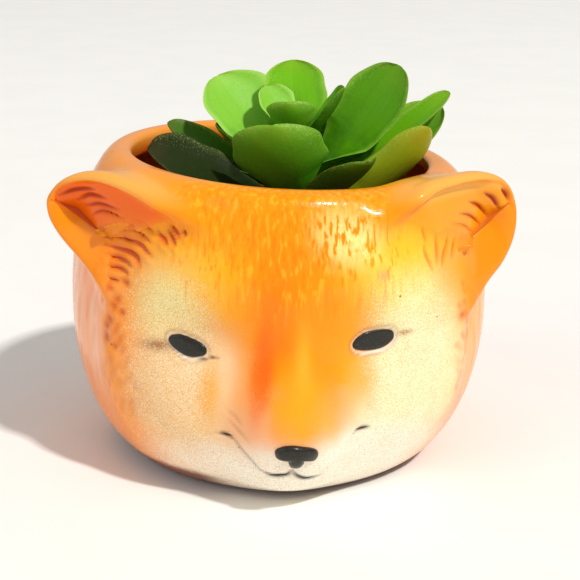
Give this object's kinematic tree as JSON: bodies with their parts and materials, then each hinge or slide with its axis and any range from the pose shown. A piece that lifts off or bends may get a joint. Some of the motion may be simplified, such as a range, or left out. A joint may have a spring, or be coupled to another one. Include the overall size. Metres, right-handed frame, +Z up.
{
  "type": "animal head planter",
  "caption": "Fox-head ceramic planter with cupped ears, glossy eyes and nose, a filled pot and a lift-out artificial succulent.",
  "frame": {"origin": "on the surface it stands on, under the middle of the whole planter's bounding box", "axes": "+Z up, -Y the way the fox looks, +X towards the fox's own left"},
  "size_m": [0.1164, 0.1107, 0.1008],
  "materials": {
    "fox_glaze": "gloss glaze, airbrushed orange to cream",
    "ear_glaze": "gloss glaze, orange",
    "black_glaze": "gloss glaze, black",
    "foam": "matt rigid foam",
    "grit": "matt loose grit",
    "stem_green": "satin soft plastic",
    "wire": "drawn",
    "leaf_green": "satin soft plastic, frosted edges"
  },
  "bodies": {
    "planter": {"pot_shell": "fox_glaze", "left_ear": "ear_glaze", "right_ear": "ear_glaze", "left_eye": "black_glaze", "right_eye": "black_glaze", "nose_pad": "black_glaze", "foam_plug": "foam", "grit_bed": "grit"},
    "succulent": {"stem": "stem_green", "stem_wire": "wire", "leaf_crown_front": "leaf_green", "leaf_crown_left": "leaf_green", "leaf_crown_right": "leaf_green", "leaf_upper_back": "leaf_green", "leaf_upper_left": "leaf_green", "leaf_upper_corner": "leaf_green", "leaf_upper_right": "leaf_green", "leaf_upper_side": "leaf_green", "leaf_lower_front": "leaf_green", "leaf_lower_left": "leaf_green", "leaf_lower_side": "leaf_green", "leaf_lower_long": "leaf_green", "leaf_lower_tip": "leaf_green", "leaf_lower_right": "leaf_green", "leaf_lower_small": "leaf_green", "leaf_lower_back": "leaf_green", "leaf_lower_behind": "leaf_green"}
  },
  "joints": [
    {"name": "succulent_lift", "type": "slide", "parent": "planter", "child": "succulent", "axis": [0, 0, 1], "range_m": [0, 0.07]}
  ]
}
